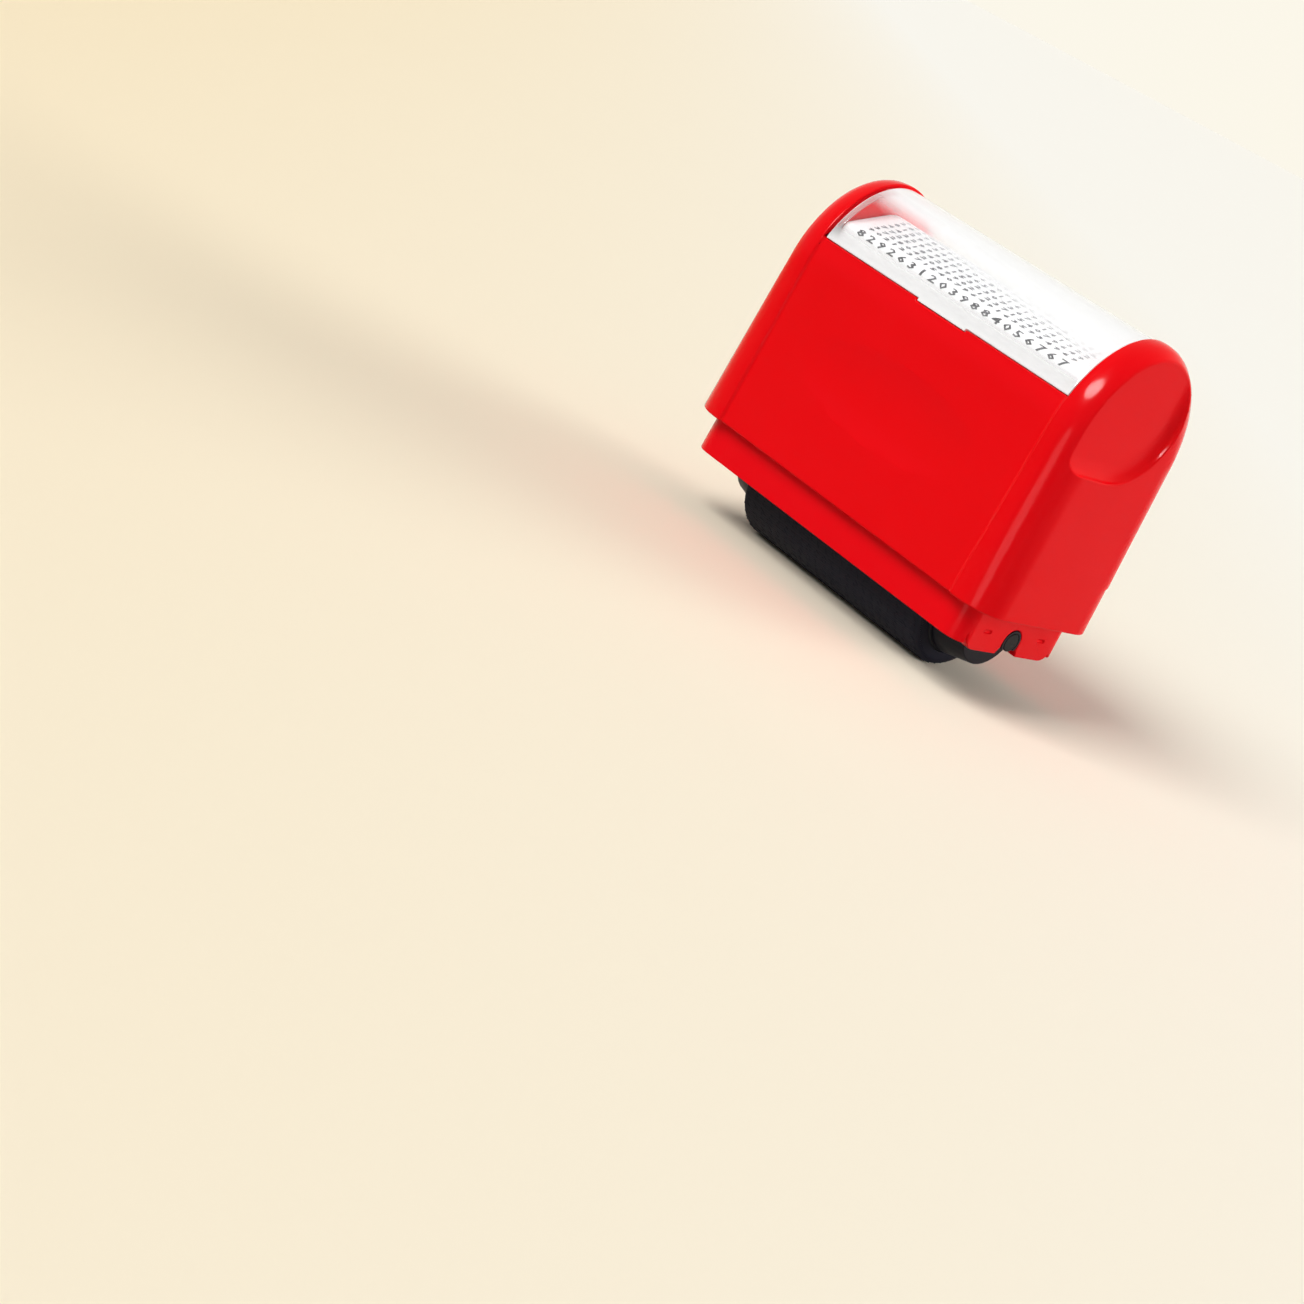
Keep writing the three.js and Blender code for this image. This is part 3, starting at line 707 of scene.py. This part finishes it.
def sleeve_tube(name, node, set_in, edge):
    """A tube along X over a packed one, its outside set in by a little and its rims rounded."""
    low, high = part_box(node)
    outer = (high.z - low.z) / 2 - set_in
    middle = (high.z + low.z) / 2
    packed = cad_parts[node].data.vertices
    inner = min(math.hypot(point.co.y, point.co.z - middle) for point in packed)
    deselect()
    bpy.ops.mesh.primitive_cylinder_add(
        vertices=tube_sides,
        radius=outer,
        depth=high.x - low.x,
        location=(0, 0, middle),
        rotation=(0, math.radians(90), 0),
    )
    tube = named(bpy.context.object, name)
    settle(tube)

    # Bore it: inset both ends, take them out, and bridge the two holes
    select_faces(tube, lambda face: abs(face.normal.x) > 0.9)
    bpy.ops.mesh.inset(thickness=outer - inner, use_outset=False)
    bpy.ops.mesh.delete(type="FACE")
    bpy.ops.mesh.select_mode(type="EDGE")
    bpy.ops.mesh.select_all(action="DESELECT")
    bpy.ops.mesh.select_non_manifold()
    bpy.ops.mesh.bridge_edge_loops()
    bpy.ops.mesh.select_all(action="SELECT")
    bpy.ops.mesh.normals_make_consistent(inside=False)
    close_mesh()

    end_x = high.x - 0.001 * MM
    rim_radius = outer - 0.01 * MM

    def on_rim(point):
        return abs(point.x) > end_x and math.hypot(point.y, point.z - middle) > rim_radius

    select_edges(tube, lambda first, second: on_rim(first) and on_rim(second))
    bpy.ops.mesh.bevel(offset=edge, segments=4, affect="EDGES")
    close_mesh()
    shade(tube)
    return tube


# Printing drum: the sleeve is set in by the height of its dies. The dies are rooted in it, their
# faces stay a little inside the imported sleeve, and the margins are what their rows leave free of
# its length, both ends together
die_height = 0.09 * MM
die_root = 0.25 * MM
die_clearance = 0.03 * MM
die_margins = 1.2 * MM
die_rows = 33

sleeve = sleeve_tube("die_sleeve", "stamp_sleeve", set_in=die_height, edge=1 * MM)
dress(sleeve, black_rubber, "drum", "black_rubber", "stamp_sleeve")


def lay_row(row, radius, centre_z, lean):
    """Lays a flat row on a cylinder along X, leaning from straight up towards the front."""
    row.rotation_euler = (lean, 0, 0)
    row.location = (0, -radius * math.sin(lean), centre_z + radius * math.cos(lean))
    settle(row)


dies = []
for i in range(die_rows):
    die_row = digit_row(
        count=22,
        seed=5 + 13 * i,
        height=1.25 * MM,
        length=2 * print_half - die_margins,
        spacing=1.15,
        relief=die_height + die_root,
        mirrored=True,
    )
    lay_row(die_row, die_radius - die_clearance, axle_z, 2 * math.pi * i / die_rows)
    dies.append(die_row)
raised_dies = joined(dies, "raised_dies")
dress(raised_dies, black_rubber, "drum", "black_rubber")

cushion = sleeve_tube("foam_cushion", "drum_cushion", set_in=0, edge=0.3 * MM)
dress(cushion, foam, "drum", "grey_foam", "drum_cushion")

core = moulding("drum_core", "drum_core_moulding", edge=0.15 * MM)
dress(core, black_plastic, "drum", "black_plastic", "drum_core")

for end in ("left", "right"):
    hub = moulding("drum_hub_" + end, "hub_moulding_" + end, edge=0.15 * MM, angle=20)
    dress(hub, black_plastic, "drum", "black_plastic", "drum_hub_" + end)

drum_axle = moulding("drum_axle", "drum_axle_rod", edge=0.12 * MM)
dress(drum_axle, black_steel, "drum", "black_steel", "drum_axle")

# Ink roller
ink_axle = moulding("ink_axle", "ink_axle_rod", edge=0.12 * MM)
dress(ink_axle, spring_steel, "ink_roller", "spring_steel", "ink_axle")

ink_felt = sleeve_tube("felt_roller", "ink_felt", set_in=0, edge=0.6 * MM)
dress(ink_felt, felt, "ink_roller", "inked_felt", "ink_felt")

ink_core = moulding("ink_core", "ink_core_moulding", edge=0.12 * MM)
dress(ink_core, white_plastic, "ink_roller", "white_plastic", "ink_core")

for end in ("left", "right"):
    cap = moulding("ink_cap_" + end, "ink_cap_moulding_" + end, edge=0.12 * MM)
    dress(cap, white_plastic, "ink_roller", "white_plastic", "ink_cap_" + end)

# Floor: pale to the eye, warmer to the left, and darker for the light that it throws back
floor_left = (0.94, 0.77, 0.48, 1)
floor_right = (0.97, 0.94, 0.86, 1)
floor_bounce = (0.42, 0.4, 0.36, 1)
floor_radius = 6

# Where the tint starts and ends, along X plus Y
floor_left_edge = -0.35
floor_right_edge = 0.25


def seen_rays(tree):
    """1 for rays that show a surface to the eye, 0 for rays that only carry light."""
    path = add(tree, "ShaderNodeLightPath").outputs
    straight_or_gloss = reckon(tree, "MAXIMUM", path["Is Camera Ray"], path["Is Glossy Ray"])
    return reckon(tree, "MAXIMUM", straight_or_gloss, path["Is Transmission Ray"])


def make_floor():
    """A wide pale disc under the stamp."""
    deselect()
    bpy.ops.mesh.primitive_circle_add(vertices=96, radius=floor_radius, fill_type="NGON")
    floor = named(bpy.context.object, "studio_floor")
    material, tree, shader = new_material("pale_floor")
    place = places(tree)[1]
    across = reckon(tree, "ADD", place["X"], place["Y"])
    across = remap(tree, across, floor_left_edge, floor_right_edge)
    tint = mix_colours(tree, across, floor_left, floor_right)
    shown = mix_colours(tree, seen_rays(tree), floor_bounce, tint)
    tree.links.new(shown, shader.inputs["Base Color"])
    shader.inputs["Roughness"].default_value = 0.9
    shader.inputs["Specular IOR Level"].default_value = 0.1
    floor.data.materials.append(material)


make_floor()

# Lamps, all turned towards one point inside the housing
lamp_target = Vector((0, 0, 35 * MM))


def aim_lamp(lamp, direction, distance):
    """Hangs a lamp in a direction from the target, facing it."""
    holder = bpy.data.objects.new(lamp.name, lamp)
    away = Vector(direction).normalized()
    holder.location = lamp_target + away * distance
    holder.rotation_euler = away.to_track_quat("Z", "Y").to_euler()
    bpy.context.scene.collection.objects.link(holder)
    return holder


def broad_lamp(name, direction, spread, strength):
    """Even light from a patch of sky as many degrees wide as its spread, without a gleam."""
    lamp = bpy.data.lights.new(name, "SUN")
    lamp.angle = math.radians(spread)
    lamp.energy = strength
    holder = aim_lamp(lamp, direction, 1.0)
    holder.visible_glossy = False


def gleam_lamp(name, direction, distance, width, height, watts):
    """An oval lamp that shows only as a gleam on glossy faces."""
    lamp = bpy.data.lights.new(name, "AREA")
    lamp.shape = "ELLIPSE"
    lamp.size = width
    lamp.size_y = height
    lamp.energy = watts
    holder = aim_lamp(lamp, direction, distance)
    holder.visible_diffuse = False
    holder.visible_camera = False


broad_lamp("front_lamp", (-0.16, -0.69, 0.71), spread=35, strength=2.3)
broad_lamp("rear_lamp", (0.6, 0.78, 0.1), spread=50, strength=3.6)
broad_lamp("sky_lamp", (-0.1, -0.1, 1), spread=90, strength=0.05)
gleam_lamp(
    "belt_gleam",
    (0.6, -0.78, -0.15),
    distance=83 * MM,
    width=26 * MM,
    height=42 * MM,
    watts=0.014,
)
gleam_lamp(
    "rim_gleam",
    (0.13, -0.76, 0.64),
    distance=600 * MM,
    width=380 * MM,
    height=210 * MM,
    watts=12,
)

# Room round the stamp: a pale backdrop to the eye, and soft daylight as light
world = bpy.data.worlds.new("studio_light")
bpy.context.scene.world = world
world.use_nodes = True
room = world.node_tree
backdrop = add(room, "ShaderNodeBackground")
backdrop.inputs["Color"].default_value = (0.97, 0.93, 0.82, 1)
backdrop.inputs["Strength"].default_value = 1.0
daylight = room.nodes["Background"]
daylight.inputs["Color"].default_value = (0.95, 0.97, 1, 1)
daylight.inputs["Strength"].default_value = 0.28
chosen = add(room, "ShaderNodeMixShader")
room.links.new(seen_rays(room), chosen.inputs["Fac"])
room.links.new(daylight.outputs["Background"], chosen.inputs[1])
room.links.new(backdrop.outputs["Background"], chosen.inputs[2])
room.links.new(chosen.outputs["Shader"], room.nodes["World Output"].inputs["Surface"])

# Camera, fitted to the housing's edges in the photograph: its angles, its focal length in the
# photograph's pixels, and where it stands from a point on the stamp's axis, along its own axes
azimuth = math.radians(38.234)
elevation = math.radians(16.326)
roll = math.radians(27.982)
photo_pixels = 1304
focal_pixels = 2599.8
sensor_width = 36
aim = Vector((0, 0, 34.067 * MM))
camera_left = 43.214 * MM
camera_down = 36.849 * MM
camera_back = 365.903 * MM

back = Vector((
    math.sin(azimuth) * math.cos(elevation),
    -math.cos(azimuth) * math.cos(elevation),
    math.sin(elevation),
))
level_right = Vector((math.cos(azimuth), math.sin(azimuth), 0))
level_up = back.cross(level_right)
right = math.cos(roll) * level_right + math.sin(roll) * level_up
up = math.cos(roll) * level_up - math.sin(roll) * level_right
lens = bpy.data.cameras.new("photo_camera")
lens.sensor_width = sensor_width
lens.lens = focal_pixels * sensor_width / photo_pixels
camera = bpy.data.objects.new("photo_camera", lens)
bpy.context.scene.collection.objects.link(camera)
standing = Matrix((right, up, back)).transposed().to_4x4()
standing.translation = aim - camera_left * right - camera_down * up + camera_back * back
camera.matrix_world = standing
bpy.context.scene.camera = camera

bpy.context.scene.view_settings.view_transform = "Standard"
